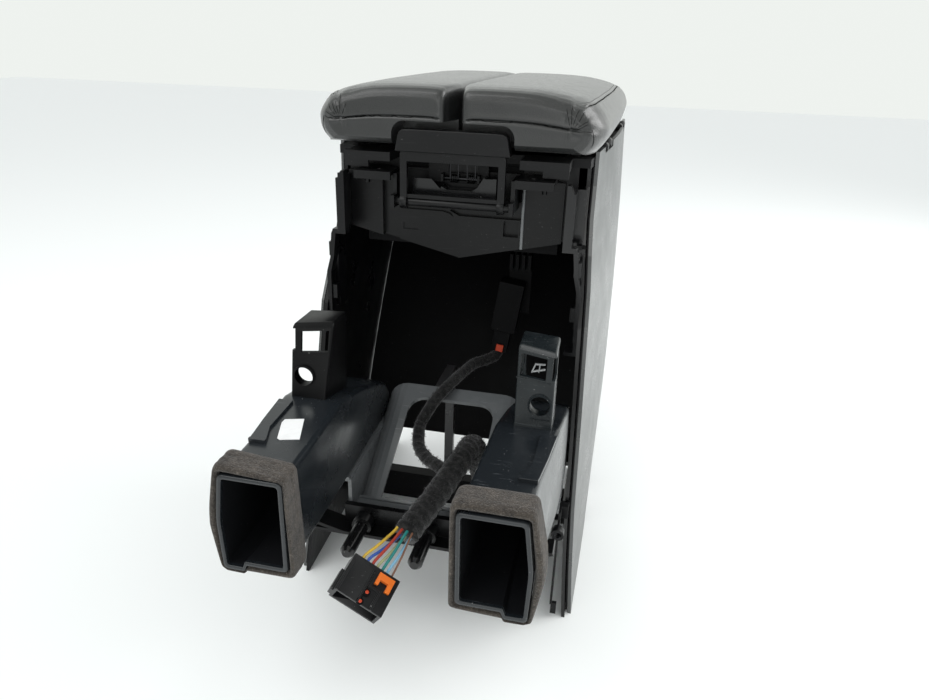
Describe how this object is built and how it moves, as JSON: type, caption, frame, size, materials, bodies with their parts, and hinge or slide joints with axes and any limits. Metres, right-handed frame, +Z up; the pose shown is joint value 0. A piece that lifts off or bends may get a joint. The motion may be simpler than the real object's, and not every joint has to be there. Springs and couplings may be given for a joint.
{
  "type": "car centre armrest",
  "caption": "Rear section of a car centre console: storage bin under a two-door padded armrest lid with a front release button, two air ducts, side panels and wiring.",
  "frame": {"origin": "on the floor under the middle of the part's box, without the free wiring", "axes": "+X to the right lid, +Y towards the back of the lids, +Z up"},
  "size_m": [0.2712, 0.586, 0.4408],
  "materials": {
    "lid_leather": "grained, satin",
    "soft_trim": "fine grain, soft touch",
    "black_plastic": "moulded, satin",
    "satin_black": "satin",
    "gloss_black": "semi gloss",
    "duct_plastic": "blow moulded, semi gloss",
    "grey_plastic": "satin",
    "grey_seal": "satin",
    "black_rubber": "matt",
    "brown_foam": "open foam, matt",
    "fleece_tape": "woven fleece tape",
    "steel": "bright wire",
    "dark_steel": "dark",
    "orange_plastic": "satin",
    "white_label": "paper, matt",
    "wire_insulation": "coloured insulation"
  },
  "bodies": {
    "console": {"left_hinge_pins": "steel", "right_hinge_pins": "steel", "left_hinge_brackets": "black_plastic", "right_hinge_brackets": "black_plastic", "lid_bumpers": "black_rubber", "pivot_rod": "dark_steel", "catch_plate": "satin_black", "latch_back_plate": "black_plastic", "left_latch_spring": "steel", "right_latch_spring": "steel", "spring_pin": "dark_steel", "upper_frame": "black_plastic", "storage_bin": "black_plastic", "front_wall": "black_plastic", "corner_bead": "grey_seal", "left_stop_bracket": "black_plastic", "right_stop_bracket": "black_plastic", "left_side_trim": "soft_trim", "right_side_trim": "soft_trim", "left_mid_shell": "gloss_black", "right_mid_shell": "gloss_black", "left_inner_carrier": "black_plastic", "right_inner_carrier": "black_plastic", "rear_panel": "black_plastic", "rear_cross_member": "black_plastic", "tray_post": "grey_plastic", "base_tray": "grey_plastic", "front_crossbar": "black_plastic", "left_peg": "gloss_black", "right_peg": "gloss_black", "left_duct": "duct_plastic", "right_duct": "duct_plastic", "left_foam_gasket": "brown_foam", "right_foam_gasket": "brown_foam", "left_tower": "duct_plastic", "right_tower": "duct_plastic", "label_sticker": "white_label", "socket_bracket": "black_plastic", "socket_block": "satin_black", "branch_plug": "satin_black", "branch_plug_lock": "orange_plastic", "harness_main": "fleece_tape", "harness_branch": "fleece_tape", "harness_clamp": "black_plastic", "wires": "wire_insulation", "connector_body": "satin_black", "connector_lock": "orange_plastic", "side_clip": "black_plastic", "clip_spring": "steel"},
    "left_lid": {"left_lid_pad": "lid_leather", "left_lid_shell": "black_plastic"},
    "right_lid": {"right_lid_pad": "lid_leather", "right_lid_shell": "black_plastic"},
    "button": {"release_button": "satin_black", "button_bail": "black_plastic"}
  },
  "joints": [
    {"name": "left_lid_hinge", "type": "hinge", "parent": "console", "child": "left_lid", "pos_m": [-0.11364, 0.025, 0.3915], "axis": [0.0569, -0.9984, 0], "range_deg": [0, 85]},
    {"name": "right_lid_hinge", "type": "hinge", "parent": "console", "child": "right_lid", "pos_m": [0.11364, 0.025, 0.3915], "axis": [0.0569, 0.9984, 0], "range_deg": [0, 85]},
    {"name": "button_press", "type": "hinge", "parent": "console", "child": "button", "pos_m": [0, -0.082, 0.351], "axis": [-1, 0, 0], "range_deg": [0, 8], "stiffness_Nm_per_rad": 0.8, "springref_deg": -11.46}
  ]
}
